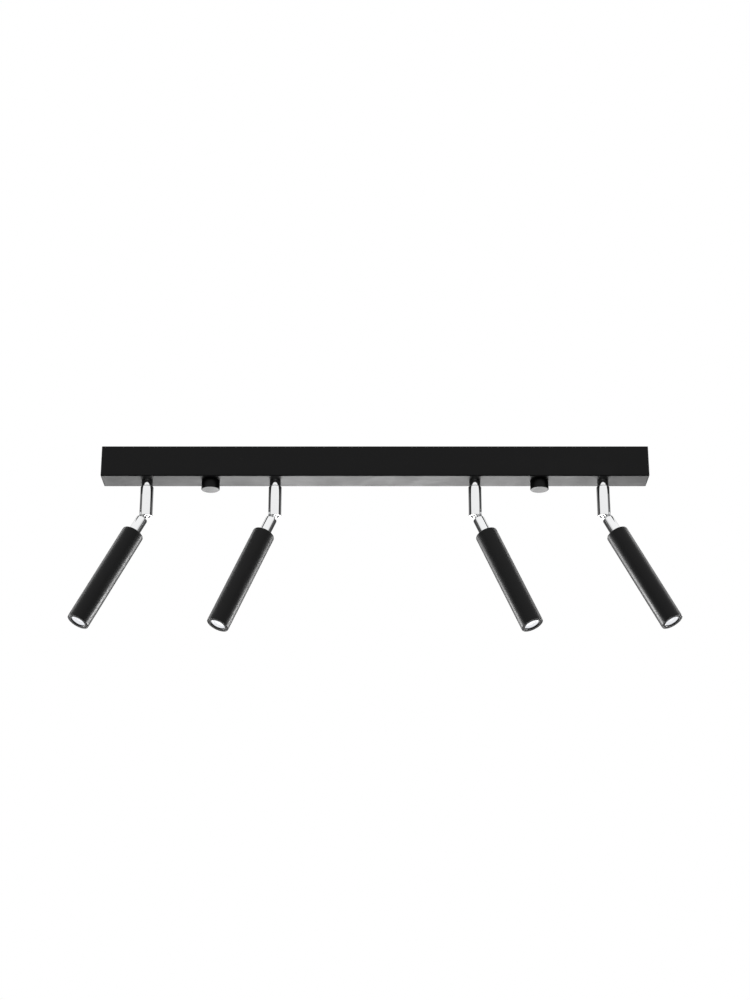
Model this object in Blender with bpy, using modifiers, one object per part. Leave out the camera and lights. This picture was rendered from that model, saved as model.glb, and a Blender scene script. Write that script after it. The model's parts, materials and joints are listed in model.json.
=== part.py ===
"""Ceiling bar spotlight with four swivelling tube heads, modelled as separate pieces.

The bar runs along X, Y points to its back and Z points up. The origin is the middle of the ceiling face, so
the whole fixture hangs below z = 0. Sizes are in millimetres in the constants and metres in the scene.
"""

import math

import bmesh
import bpy
from mathutils import Matrix

MM = 0.001
GAP = 0.3  # clearance between two pieces that fit or rest on each other
MERGE = 0.00001
SHARP_ANGLE = math.radians(35.0)

# The folded bar and the strip that holds it to the ceiling
BAR_LENGTH = 550.0
BAR_WIDTH = 30.0
BAR_HEIGHT = 31.8
BAR_WALL = 1.0
BAR_BEND_RADIUS = 1.2
OUTER_INSET = 45.5  # from the bar's end to the nearest head
INNER_X = 100.5  # from the middle of the bar to each inner head
STRIP_INSET = 25.0  # from each end of the bar
STRIP_SIDE_ROOM = 2.0
STRIP_DEPTH = 8.0
STRIP_WALL = 1.2
SCREW_SLOT_LENGTH = 12.0
SCREW_SLOT_WIDTH = 5.0
SCREW_SLOT_FROM_STUD = 35.6
SUPPLY_HOLE_RADIUS = 6.0
SUPPLY_HOLE_FROM_HEAD = 40.5  # along the bar, from the right inner head

# The two studs with the round nuts that pull the bar up to the ceiling
STUD_X = 165.6  # from the middle of the bar to each stud
STUD_RADIUS = 2.0
STUD_NUT_FLATS = 7.0
STUD_NUT_HEIGHT = 3.2
CAP_NUT_RADIUS = 9.2
CAP_NUT_HEIGHT = 9.0
CAP_NUT_FACE = 2.0  # metal between the stud's end and the nut's end
CAP_NUT_CHAMFER = 0.5

# What the bar holds
DRIVER_HEIGHT = 17.0
DRIVER_SIDE_ROOM = 3.5
DRIVER_HEAD_ROOM = 25.5  # along the bar, from the left inner head
DRIVER_LEAD_ROOM = 13.0  # between the driver and the terminal block
DRIVER_ROUND = 1.5
TERMINAL_SIZE = (24.0, 16.0, 12.0)
TERMINAL_WAYS = 3
TERMINAL_PITCH = 7.5
TERMINAL_WIRE_RADIUS = 1.7
TERMINAL_WELL_RADIUS = 2.0
TERMINAL_WELL_DEPTH = 5.0
EARTH_FROM_HEAD = 10.5  # along the bar, from the right inner head
EARTH_SCREW_RADIUS = 1.5
EARTH_HEAD_RADIUS = 2.7
EARTH_HEAD_HEIGHT = 1.8
EARTH_HEAD_CHAMFER = 0.8
EARTH_TIP_CLEARANCE = 0.8  # to the bar's inner wall

# Swivels. Heights here are measured down from the bar's underside
SLEEVE_RADIUS = 6.55
SLEEVE_END = 38.0
SLEEVE_WALL = 1.45
SLEEVE_CHAMFER = 0.4
SLEEVE_ROOF = 4.0
PIVOT_RISE = 4.2  # of the pivot above the sleeve's end
LIP_DROP = 2.1  # of the socket's narrow lip below the pivot
MOUTH_FLARE = 0.2
NECK_STEP = 0.85  # how much slimmer the neck is than the sleeve
NECK_LENGTH = 6.6
THREAD_STEP = 0.7
THREAD_RISE = 6.5  # above the bar's underside
LOCK_NUT_RIM = 2.0
LOCK_NUT_HEIGHT = 3.0
SPIGOT_WALL = 1.2
RETAINER_RIM = 1.1
RETAINER_HEIGHT = 2.2
STOP_WIDTH = 1.6
STOP_INSET = 1.65  # of the stop lug's tip from the sleeve's side
STOP_DEPTH = 1.1
STOP_ROOT = 0.55  # how far the lug runs up into the neck
POCKET_DEPTH = 1.6

# Ball, its neck and the stem it carries. Distances are from the pivot along the head's axis
WIRE_RADIUS = 1.6
BALL_NECK_WALL = 0.9
SEAT_RIM_STEP = 0.5
STEM_START = 7.6
STEM_STEP = 0.8  # how much slimmer the stem is than the sleeve
STEM_ROUND = 2.5
STEM_THREAD_STEP = 1.05
STEM_THREAD_LENGTH = 8.6

# Head: tube, core, lamp and front ring
HEAD_START = 26.7
HEAD_LENGTH = 112.0
HEAD_RADIUS = 11.25
HEAD_WALL = 1.2
HEAD_ROOF = 2.0
HEAD_ROUND = 1.6
HEAD_LIP = 0.2
RING_THICKNESS = 1.5
RING_WIDTH = 2.35
RING_BEVEL = 0.5
LENS_FACE = 2.0
LENS_DEPTH = 11.7
LENS_BACK_RADIUS = 4.2
CHIP_SIZE = 5.0
CHIP_HEIGHT = 0.8
BOARD_THICKNESS = 1.2
FIN_SLOTS = 8
FIN_SLOT_WIDTH = 2.6
CORE_WALL = 0.9

# How each pair of heads is set: swing away from straight down, and turn towards the front
OUTER_TILT = 27.6
OUTER_TURN = 26.4
INNER_TILT = 24.9
INNER_TURN = 28.1

# Sides of the turned pieces, and steps in their rounded outlines
FINE = 28
MEDIUM = 20
COARSE = 16
TINY = 10
BEND_STEPS = 3
CORNER_STEPS = 2
SLOT_END_STEPS = 4
NOTCH_STEPS = 5
SOCKET_STEPS = 2
CUP_STEPS = 4
BALL_STEPS = 7
SHOULDER_STEPS = 3

# Cutting tools reach past what they cut
THROUGH = 4.0  # times the wall
NEARLY_HALF = 0.49  # rounds a slot's end without its two curves meeting

# Sizes that follow from those above
UNDERSIDE = -BAR_HEIGHT
FLOOR = UNDERSIDE + BAR_WALL
OUTER_X = BAR_LENGTH / 2 - OUTER_INSET
STUD_REACH = CAP_NUT_HEIGHT - CAP_NUT_FACE
STRIP_LENGTH = BAR_LENGTH - 2 * STRIP_INSET
STRIP_WIDTH = BAR_WIDTH - 2 * (BAR_WALL + STRIP_SIDE_ROOM)
SCREW_SLOT_X = STUD_X - SCREW_SLOT_FROM_STUD
SUPPLY_HOLE_X = INNER_X - SUPPLY_HOLE_FROM_HEAD
EARTH_X = INNER_X - EARTH_FROM_HEAD
EARTH_SCREW_REACH = STRIP_SIDE_ROOM - EARTH_TIP_CLEARANCE
DRIVER_LEFT = DRIVER_HEAD_ROOM - INNER_X
DRIVER_RIGHT = SUPPLY_HOLE_X - TERMINAL_SIZE[0] / 2 - DRIVER_LEAD_ROOM
DRIVER_WIDTH = BAR_WIDTH - 2 * (BAR_WALL + DRIVER_SIDE_ROOM)
NECK_RADIUS = SLEEVE_RADIUS - NECK_STEP
THREAD_RADIUS = NECK_RADIUS - THREAD_STEP
LOCK_NUT_FLATS = 2 * (THREAD_RADIUS + LOCK_NUT_RIM)
PIVOT_DROP = SLEEVE_END - PIVOT_RISE
BORE_RADIUS = SLEEVE_RADIUS - SLEEVE_WALL
BALL_RADIUS = BORE_RADIUS - GAP
MOUTH_RADIUS = BORE_RADIUS + MOUTH_FLARE
SPIGOT_RADIUS = BALL_RADIUS - RETAINER_RIM - GAP
NECK_BORE_RADIUS = SPIGOT_RADIUS - SPIGOT_WALL
STOP_RADIUS = SLEEVE_RADIUS - STOP_INSET
SEAT_RIM_RADIUS = BALL_RADIUS - SEAT_RIM_STEP
BALL_NECK_RADIUS = WIRE_RADIUS + BALL_NECK_WALL
STEM_RADIUS = SLEEVE_RADIUS - STEM_STEP
STEM_THREAD_RADIUS = STEM_RADIUS - STEM_THREAD_STEP
CORE_RADIUS = STEM_THREAD_RADIUS + GAP + CORE_WALL
FIT_RADIUS = HEAD_RADIUS - HEAD_WALL - GAP  # what slides into the head's tube
RING_OPENING_RADIUS = FIT_RADIUS - RING_WIDTH
HEAD_END = HEAD_START + HEAD_LENGTH
LENS_FRONT = HEAD_END - RING_THICKNESS - GAP
LENS_REAR = LENS_FRONT - LENS_DEPTH
BOARD_REAR = LENS_REAR - GAP - CHIP_HEIGHT - GAP - BOARD_THICKNESS
CORE_END = BOARD_REAR - GAP

FINISHES = {
    # name: base colour, roughness, metallic
    "black_paint": ((0.013, 0.013, 0.014), 0.42, 0.0),
    "polished_chrome": ((0.86, 0.87, 0.88), 0.07, 1.0),
    "zinc_steel": ((0.62, 0.63, 0.65), 0.38, 1.0),
    "brass": ((0.78, 0.58, 0.26), 0.3, 1.0),
    "aluminium": ((0.72, 0.73, 0.75), 0.45, 1.0),
    "white_nylon": ((0.82, 0.81, 0.77), 0.5, 0.0),
    "grey_plastic": ((0.3, 0.31, 0.32), 0.55, 0.0),
    "board_white": ((0.8, 0.82, 0.8), 0.4, 0.0),
    "lamp_yellow": ((0.9, 0.74, 0.25), 0.35, 0.0),
    "lens": ((0.93, 0.94, 0.95), 0.08, 0.0),
}


def clear_scene():
    for old in list(bpy.data.objects):
        bpy.data.objects.remove(old, do_unlink=True)


def new_collection(name):
    collection = bpy.data.collections.new(name)
    bpy.context.scene.collection.children.link(collection)
    return collection


def make_finishes():
    made = {}
    for name, (colour, roughness, metallic) in FINISHES.items():
        material = bpy.data.materials.new(name)
        material.use_nodes = True
        shader = material.node_tree.nodes["Principled BSDF"]
        shader.inputs["Base Color"].default_value = (*colour, 1.0)
        shader.inputs["Roughness"].default_value = roughness
        shader.inputs["Metallic"].default_value = metallic
        made[name] = material
    return made


clear_scene()
PIECES = new_collection("bar_spotlight")
CUTTERS = new_collection("bar_spotlight_cutters")
MATERIALS = make_finishes()


# Building blocks


def add_object(name, mesh, collection, parent=None, location=(0, 0, 0), rotation=(0, 0, 0)):
    item = bpy.data.objects.new(name, mesh)
    collection.objects.link(item)
    item.parent = parent
    item.location = [v * MM for v in location]
    item.rotation_euler = [math.radians(v) for v in rotation]
    return item


def add_empty(name, parent=None, location=(0, 0, 0), rotation=(0, 0, 0)):
    return add_object(name, None, PIECES, parent, location, rotation)


def mesh_from(name, build):
    """A mesh filled by a function that works on its bmesh."""
    mesh = bpy.data.meshes.new(name)
    bm = bmesh.new()
    build(bm)
    bm.to_mesh(mesh)
    bm.free()
    return mesh


def piece(name, mesh, finish, parent=None, location=(0, 0, 0), rotation=(0, 0, 0)):
    mesh.materials.append(MATERIALS[finish])
    return add_object(name, mesh, PIECES, parent, location, rotation)


def cutter(name, mesh, parent=None, location=(0, 0, 0), rotation=(0, 0, 0)):
    item = add_object(name, mesh, CUTTERS, parent, location, rotation)
    item.hide_render = True
    item.display_type = "WIRE"
    return item


def box_mesh(name, size, centre=(0, 0, 0)):
    def build(bm):
        bmesh.ops.create_cube(bm, size=1.0)
        bmesh.ops.scale(bm, vec=[v * MM for v in size], verts=bm.verts)
        bmesh.ops.translate(bm, vec=[v * MM for v in centre], verts=bm.verts)

    return mesh_from(name, build)


def rod_mesh(name, radius, length, segments, centre=(0, 0, 0)):
    """A solid cylinder or prism along Z."""

    def build(bm):
        bmesh.ops.create_cone(
            bm,
            cap_ends=True,
            segments=segments,
            radius1=radius * MM,
            radius2=radius * MM,
            depth=length * MM,
        )
        bmesh.ops.translate(bm, vec=[v * MM for v in centre], verts=bm.verts)

    return mesh_from(name, build)


def profile_mesh(name, points, closed):
    """The half outline of a turned piece, as (radius, height) pairs down its outer side."""

    def build(bm):
        verts = [bm.verts.new((radius * MM, 0.0, height * MM)) for radius, height in points]
        for first, second in zip(verts, verts[1:]):
            bm.edges.new((first, second))
        if closed:
            bm.edges.new((verts[-1], verts[0]))

    return mesh_from(name, build)


def arc(centre, radius, start, end, steps):
    """Points of an arc in the profile plane, by angle in degrees up from the radius axis."""
    points = []
    for step in range(steps + 1):
        angle = math.radians(start + (end - start) * step / steps)
        points.append((centre[0] + radius * math.cos(angle), centre[1] + radius * math.sin(angle)))
    return points


def turned(name, points, finish, segments, parent, closed=True, rotation=(0, 0, 0), location=(0, 0, 0)):
    """A piece spun from its outline, smooth all round and crisp at its corners."""
    outline = add_object(name + "_outline", profile_mesh(name + "_outline", points, closed), PIECES)
    screw = outline.modifiers.new("turned", "SCREW")
    screw.axis = "Z"
    screw.angle = math.radians(360.0)
    screw.steps = segments
    screw.render_steps = segments
    screw.use_merge_vertices = True
    screw.merge_threshold = MERGE
    spun = outline.evaluated_get(bpy.context.evaluated_depsgraph_get())
    mesh = bpy.data.meshes.new_from_object(spun)
    mesh.name = name
    mesh.shade_smooth()
    mesh.set_sharp_from_angle(angle=SHARP_ANGLE)
    bpy.data.objects.remove(outline, do_unlink=True)
    return piece(name, mesh, finish, parent, location, rotation)


def round_edges(item, width, segments, angle=40.0):
    bevel = item.modifiers.new("rounded", "BEVEL")
    bevel.width = width * MM
    bevel.segments = segments
    bevel.limit_method = "ANGLE"
    bevel.angle_limit = math.radians(angle)


def round_off(bm, edges, radius, segments):
    """Round edges of a mesh that is still being built."""
    offset = radius * MM
    bmesh.ops.bevel(bm, geom=edges, offset=offset, segments=segments, profile=0.5, affect="EDGES")


def thicken(item, wall):
    """Give an open sheet its thickness on the inner side."""
    solidify = item.modifiers.new("wall", "SOLIDIFY")
    solidify.thickness = wall * MM
    solidify.offset = -1.0
    solidify.use_even_offset = True


def combine(item, tool, operation="DIFFERENCE"):
    boolean = item.modifiers.new(operation.lower(), "BOOLEAN")
    boolean.operation = operation
    boolean.solver = "EXACT"
    boolean.object = tool


def cut_round(item, name, radius, length, segments, centre, rotation=(0, 0, 0)):
    tool = cutter(name, rod_mesh(name, radius, length, segments), item.parent, centre, rotation)
    combine(item, tool)


def nut(name, flats, height, hole_radius, finish, top, x, parent=None):
    """A plain hexagon nut with its upper face at the height given."""
    across_corners = flats / math.cos(math.radians(30.0))
    middle = (x, 0.0, top - height / 2)
    mesh = rod_mesh(name, across_corners / 2, height, 6)
    item = piece(name, mesh, finish, parent, middle)
    cut_round(item, name + "_hole", hole_radius, height * 2, COARSE, middle)
    return item


# Bar, ceiling strip and what they hold


def make_bar():
    def build(bm):
        bmesh.ops.create_cube(bm, size=1.0)
        bmesh.ops.scale(bm, vec=(BAR_LENGTH * MM, BAR_WIDTH * MM, BAR_HEIGHT * MM), verts=bm.verts)
        bmesh.ops.translate(bm, vec=(0.0, 0.0, UNDERSIDE / 2 * MM), verts=bm.verts)
        top = [face for face in bm.faces if face.normal.z > 0.5]
        bmesh.ops.delete(bm, geom=top, context="FACES")

    bar = piece("canopy_shell", mesh_from("canopy_shell", build), "black_paint")
    round_edges(bar, BAR_BEND_RADIUS, BEND_STEPS)
    thicken(bar, BAR_WALL)
    depth = BAR_WALL * THROUGH
    for x in (-OUTER_X, -INNER_X, INNER_X, OUTER_X):
        cut_round(bar, "neck_hole", THREAD_RADIUS + GAP, depth, MEDIUM, (x, 0, UNDERSIDE))
    for x in (-STUD_X, STUD_X):
        cut_round(bar, "stud_hole", STUD_RADIUS + GAP, depth, COARSE, (x, 0, UNDERSIDE))


def screw_slot(x):
    def build(bm):
        bmesh.ops.create_cube(bm, size=1.0)
        size = (SCREW_SLOT_LENGTH * MM, SCREW_SLOT_WIDTH * MM, STRIP_WALL * THROUGH * MM)
        bmesh.ops.scale(bm, vec=size, verts=bm.verts)
        upright = [e for e in bm.edges if abs(e.verts[0].co.z - e.verts[1].co.z) > MM]
        round_off(bm, upright, SCREW_SLOT_WIDTH * NEARLY_HALF, SLOT_END_STEPS)

    return cutter("screw_slot", mesh_from("screw_slot", build), None, (x, 0, 0))


def make_strip():
    def build(bm):
        bmesh.ops.create_cube(bm, size=1.0)
        bmesh.ops.scale(bm, vec=(STRIP_LENGTH * MM, STRIP_WIDTH * MM, STRIP_DEPTH * MM), verts=bm.verts)
        bmesh.ops.translate(bm, vec=(0.0, 0.0, -STRIP_DEPTH / 2 * MM), verts=bm.verts)
        open_sides = [f for f in bm.faces if f.normal.z < -0.5 or abs(f.normal.x) > 0.5]
        bmesh.ops.delete(bm, geom=open_sides, context="FACES")

    strip = piece("ceiling_bracket", mesh_from("ceiling_bracket", build), "zinc_steel")
    thicken(strip, STRIP_WALL)
    through = STRIP_WALL * THROUGH
    for x in (-STUD_X, STUD_X):
        cut_round(strip, "stud_clearance", STUD_RADIUS + GAP, through, COARSE, (x, 0, 0))
    for x in (-SCREW_SLOT_X, SCREW_SLOT_X):
        combine(strip, screw_slot(x))
    cut_round(strip, "supply_hole", SUPPLY_HOLE_RADIUS, through, COARSE, (SUPPLY_HOLE_X, 0, 0))
    flange_middle = (EARTH_X, -STRIP_WIDTH / 2, -STRIP_DEPTH / 2 - STRIP_WALL / 2)
    earth_hole = EARTH_SCREW_RADIUS + GAP
    cut_round(strip, "earth_hole", earth_hole, through, COARSE, flange_middle, (90, 0, 0))


def make_studs():
    for side, x in (("left", -STUD_X), ("right", STUD_X)):
        top = -GAP
        bottom = UNDERSIDE - STUD_REACH
        outline = [(0.0, top), (STUD_RADIUS, top), (STUD_RADIUS, bottom), (0.0, bottom)]
        turned("stud_" + side, outline, "zinc_steel", COARSE, None, closed=False, location=(x, 0, 0))
        nut("stud_nut_" + side, STUD_NUT_FLATS, STUD_NUT_HEIGHT, STUD_RADIUS + GAP, "zinc_steel",
            -STRIP_WALL - GAP, x)
        make_cap_nut(side, x)


def make_cap_nut(side, x):
    top = UNDERSIDE - GAP
    bottom = top - CAP_NUT_HEIGHT
    well_end = UNDERSIDE - STUD_REACH - GAP
    well = STUD_RADIUS + GAP
    rim = CAP_NUT_RADIUS - CAP_NUT_CHAMFER
    outline = [
        (0.0, well_end),
        (well, well_end),
        (well, top),
        (rim, top),
        (CAP_NUT_RADIUS, top - CAP_NUT_CHAMFER),
        (CAP_NUT_RADIUS, bottom + CAP_NUT_CHAMFER),
        (rim, bottom),
        (0.0, bottom),
    ]
    turned("cap_nut_" + side, outline, "black_paint", FINE, None, closed=False, location=(x, 0, 0))


def make_driver():
    size = (DRIVER_RIGHT - DRIVER_LEFT, DRIVER_WIDTH, DRIVER_HEIGHT)
    middle = ((DRIVER_LEFT + DRIVER_RIGHT) / 2, 0, FLOOR + GAP + DRIVER_HEIGHT / 2)
    driver = piece("led_driver", box_mesh("led_driver", size), "white_nylon", None, middle)
    round_edges(driver, DRIVER_ROUND, CORNER_STEPS)


def make_terminal_block():
    middle = (SUPPLY_HOLE_X, 0, FLOOR + GAP + TERMINAL_SIZE[2] / 2)
    mesh = box_mesh("terminal_block", TERMINAL_SIZE)
    block = piece("terminal_block", mesh, "grey_plastic", None, middle)
    top = middle[2] + TERMINAL_SIZE[2] / 2
    for way in range(TERMINAL_WAYS):
        x = SUPPLY_HOLE_X + (way - (TERMINAL_WAYS - 1) / 2) * TERMINAL_PITCH
        cut_round(block, "wire_way", TERMINAL_WIRE_RADIUS, TERMINAL_SIZE[1] * 2, TINY, (x, 0, middle[2]),
                  (90, 0, 0))
        cut_round(block, "screw_well", TERMINAL_WELL_RADIUS, TERMINAL_WELL_DEPTH * 2, TINY, (x, 0, top))


def make_earth_screw():
    inner = -STRIP_WIDTH / 2 + STRIP_WALL + GAP
    tip = -STRIP_WIDTH / 2 - EARTH_SCREW_REACH
    shank = inner - tip
    outline = [
        (0.0, EARTH_HEAD_HEIGHT),
        (EARTH_HEAD_RADIUS - EARTH_HEAD_CHAMFER, EARTH_HEAD_HEIGHT),
        (EARTH_HEAD_RADIUS, EARTH_HEAD_HEIGHT - EARTH_HEAD_CHAMFER),
        (EARTH_HEAD_RADIUS, 0.0),
        (EARTH_SCREW_RADIUS, 0.0),
        (EARTH_SCREW_RADIUS, -shank),
        (0.0, -shank),
    ]
    seat = (EARTH_X, inner, -STRIP_DEPTH / 2 - STRIP_WALL / 2)
    turned("earth_screw", outline, "brass", COARSE, None, closed=False, location=seat, rotation=(-90, 0, 0))


# Swivels


def make_neck(tag, station, outward):
    """The fixed nipple: thread in the bar, visible neck, spigot in the sleeve and its stop lug."""
    spigot_end = -(NECK_LENGTH + SLEEVE_ROOF + GAP + RETAINER_HEIGHT + GAP)
    shoulder = -(NECK_LENGTH - GAP)
    outline = [
        (NECK_BORE_RADIUS, THREAD_RISE),
        (THREAD_RADIUS, THREAD_RISE),
        (THREAD_RADIUS, -GAP),
        (NECK_RADIUS, -GAP),
        (NECK_RADIUS, shoulder),
        (SPIGOT_RADIUS, shoulder),
        (SPIGOT_RADIUS, spigot_end),
        (NECK_BORE_RADIUS, spigot_end),
    ]
    neck = turned("neck_" + tag, outline, "polished_chrome", MEDIUM, station)
    root = SPIGOT_RADIUS - SPIGOT_WALL / 2
    size = (STOP_RADIUS - root, STOP_WIDTH, STOP_DEPTH + STOP_ROOT)
    centre = (outward * (STOP_RADIUS + root) / 2, 0.0, shoulder - STOP_DEPTH + size[2] / 2)
    lug = cutter("stop_lug", box_mesh("stop_lug", size, centre), station)
    combine(neck, lug, "UNION")


def make_retainer(tag, station):
    """The ring under the sleeve's roof that keeps the sleeve on the spigot."""
    top = -(NECK_LENGTH + SLEEVE_ROOF + GAP)
    bottom = top - RETAINER_HEIGHT
    inner = SPIGOT_RADIUS + GAP
    outline = [(inner, top), (BALL_RADIUS, top), (BALL_RADIUS, bottom), (inner, bottom)]
    turned("retaining_ring_" + tag, outline, "brass", COARSE, station)


def sleeve_outline():
    top = -NECK_LENGTH
    roof_under = top - SLEEVE_ROOF
    hole = SPIGOT_RADIUS + GAP
    chamfer_radius = SLEEVE_RADIUS - SLEEVE_CHAMFER
    lip_angle = math.degrees(math.asin(LIP_DROP / BORE_RADIUS))
    socket = arc((0.0, -PIVOT_DROP), BORE_RADIUS, -lip_angle, 0.0, SOCKET_STEPS)
    outer = [
        (hole, top),
        (chamfer_radius, top),
        (SLEEVE_RADIUS, top - SLEEVE_CHAMFER),
        (SLEEVE_RADIUS, -SLEEVE_END + SLEEVE_CHAMFER),
        (chamfer_radius, -SLEEVE_END),
        (MOUTH_RADIUS, -SLEEVE_END),
    ]
    return outer + socket + [(BORE_RADIUS, roof_under), (hole, roof_under)]


def make_sleeve(tag, turn):
    """The turning sleeve, with the side notch that lets the head swing up to level."""
    sleeve = turned("sleeve_" + tag, sleeve_outline(), "polished_chrome", FINE, turn)

    def notch_shape(bm):
        bmesh.ops.create_cube(bm, size=1.0)
        half_width = BALL_NECK_RADIUS + GAP
        height = SLEEVE_END - PIVOT_DROP + half_width + SLEEVE_RADIUS
        size = (SLEEVE_RADIUS, half_width * 2, height)
        bmesh.ops.scale(bm, vec=[v * MM for v in size], verts=bm.verts)
        centre = (SLEEVE_RADIUS, 0.0, half_width - PIVOT_DROP - height / 2)
        bmesh.ops.translate(bm, vec=[v * MM for v in centre], verts=bm.verts)
        top = max(v.co.z for v in bm.verts) - MERGE
        rails = [e for e in bm.edges if min(v.co.z for v in e.verts) > top
                 and abs(e.verts[0].co.x - e.verts[1].co.x) > MM]
        round_off(bm, rails, half_width * 2 * NEARLY_HALF, NOTCH_STEPS)

    combine(sleeve, cutter("side_notch", mesh_from("side_notch", notch_shape), turn))

    hole = SPIGOT_RADIUS + GAP
    pocket_mesh = rod_mesh("stop_pocket", STOP_RADIUS + GAP, POCKET_DEPTH * 2, MEDIUM, (0, 0, -NECK_LENGTH))
    pocket = cutter("stop_pocket", pocket_mesh, turn)
    block_size = (STOP_RADIUS * 2, STOP_WIDTH, POCKET_DEPTH * 4)
    block_centre = (-hole - STOP_RADIUS + GAP, 0.0, -NECK_LENGTH)
    block = cutter("stop_block", box_mesh("stop_block", block_size, block_centre), turn)
    combine(pocket, block)
    combine(sleeve, pocket)


def make_ball_seat(tag, turn):
    """The nylon bush between the spigot and the ball, which gives the head its grip."""
    top = -(NECK_LENGTH + SLEEVE_ROOF + GAP + RETAINER_HEIGHT + GAP + GAP)
    rim_angle = math.degrees(math.acos(SEAT_RIM_RADIUS / BORE_RADIUS))
    bore_angle = math.degrees(math.acos(WIRE_RADIUS / BORE_RADIUS))
    cup = arc((0.0, -PIVOT_DROP), BORE_RADIUS, rim_angle, bore_angle, CUP_STEPS)
    rim_height = cup[0][1]
    outline = [(WIRE_RADIUS, top), (BALL_RADIUS, top), (BALL_RADIUS, rim_height)] + cup
    turned("ball_seat_" + tag, outline, "white_nylon", COARSE, turn)


def make_stem(tag, tilt):
    """Ball, neck, round-shouldered stem and the thread that goes into the head."""
    top_angle = math.degrees(math.acos(WIRE_RADIUS / BALL_RADIUS))
    foot_angle = -math.degrees(math.acos(BALL_NECK_RADIUS / BALL_RADIUS))
    ball = arc((0.0, 0.0), BALL_RADIUS, top_angle, foot_angle, BALL_STEPS)
    shoulder_middle = (STEM_RADIUS - STEM_ROUND, -STEM_START - STEM_ROUND)
    shoulder = arc(shoulder_middle, STEM_ROUND, 90.0, 0.0, SHOULDER_STEPS)
    stem_end = -HEAD_START + GAP
    thread_end = -HEAD_START - STEM_THREAD_LENGTH
    outline = ball + [(BALL_NECK_RADIUS, -STEM_START)] + shoulder + [
        (STEM_RADIUS, stem_end),
        (STEM_THREAD_RADIUS, stem_end),
        (STEM_THREAD_RADIUS, thread_end),
        (WIRE_RADIUS, thread_end),
    ]
    turned("ball_stem_" + tag, outline, "polished_chrome", MEDIUM, tilt)


# Heads


def make_head_tube(tag, tilt):
    hole = STEM_THREAD_RADIUS + GAP
    inner = HEAD_RADIUS - HEAD_WALL
    crown_middle = (HEAD_RADIUS - HEAD_ROUND, -HEAD_START - HEAD_ROUND)
    crown = arc(crown_middle, HEAD_ROUND, 90.0, 0.0, SHOULDER_STEPS)
    outline = [(hole, -HEAD_START)] + crown + [
        (HEAD_RADIUS, -HEAD_END + HEAD_LIP),
        (HEAD_RADIUS - HEAD_LIP, -HEAD_END),
        (inner, -HEAD_END),
        (inner, -HEAD_START - HEAD_ROOF),
        (hole, -HEAD_START - HEAD_ROOF),
    ]
    turned("head_tube_" + tag, outline, "black_paint", FINE, tilt)


def make_core(tag, tilt):
    """The finned aluminium core that takes the stem's thread and carries the lamp."""
    top = -HEAD_START - HEAD_ROOF - GAP
    bottom = -CORE_END
    length = top - bottom
    middle = (0.0, 0.0, (top + bottom) / 2)
    name = "heat_sink_" + tag
    core = piece(name, rod_mesh(name, FIT_RADIUS, length, FIN_SLOTS * 4, middle), "aluminium", tilt)

    def slots(bm):
        depth = HEAD_RADIUS - CORE_RADIUS
        for index in range(FIN_SLOTS):
            made = bmesh.ops.create_cube(bm, size=1.0)["verts"]
            bmesh.ops.scale(bm, vec=[v * MM for v in (depth, FIN_SLOT_WIDTH, length * 2)], verts=made)
            bmesh.ops.translate(bm, vec=(MM * (CORE_RADIUS + depth / 2), 0.0, MM * middle[2]), verts=made)
            turn = Matrix.Rotation(math.tau * (index + 0.5) / FIN_SLOTS, 3, "Z")
            bmesh.ops.rotate(bm, cent=(0, 0, 0), verts=made, matrix=turn)

    combine(core, cutter("fin_slots", mesh_from("fin_slots", slots), tilt))
    thread_depth = STEM_THREAD_LENGTH - HEAD_ROOF
    socket = rod_mesh("thread_socket", STEM_THREAD_RADIUS + GAP, thread_depth * 2, COARSE, (0, 0, top))
    combine(core, cutter("thread_socket", socket, tilt))
    wire = rod_mesh("core_bore", WIRE_RADIUS, length * 2, TINY, middle)
    combine(core, cutter("core_bore", wire, tilt))


def make_lamp(tag, tilt):
    board_front = BOARD_REAR + BOARD_THICKNESS
    board_outline = [
        (WIRE_RADIUS, -BOARD_REAR),
        (FIT_RADIUS, -BOARD_REAR),
        (FIT_RADIUS, -board_front),
        (WIRE_RADIUS, -board_front),
    ]
    turned("led_board_" + tag, board_outline, "board_white", COARSE, tilt)
    chip_middle = (0.0, 0.0, -(board_front + GAP + CHIP_HEIGHT / 2))
    chip_mesh = box_mesh("led_chip", (CHIP_SIZE, CHIP_SIZE, CHIP_HEIGHT), chip_middle)
    piece("led_chip_" + tag, chip_mesh, "lamp_yellow", tilt)
    face = LENS_FRONT - LENS_FACE
    lens_outline = [
        (0.0, -LENS_REAR),
        (LENS_BACK_RADIUS, -LENS_REAR),
        (FIT_RADIUS, -face),
        (FIT_RADIUS, -LENS_FRONT),
        (0.0, -LENS_FRONT),
    ]
    turned("lens_" + tag, lens_outline, "lens", MEDIUM, tilt, closed=False)


def make_front_ring(tag, tilt):
    rear = -(HEAD_END - RING_THICKNESS)
    outline = [
        (RING_OPENING_RADIUS, rear),
        (FIT_RADIUS, rear),
        (FIT_RADIUS, -HEAD_END),
        (RING_OPENING_RADIUS + RING_BEVEL, -HEAD_END),
        (RING_OPENING_RADIUS, -HEAD_END + RING_BEVEL),
    ]
    turned("front_ring_" + tag, outline, "black_paint", FINE, tilt)


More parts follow.
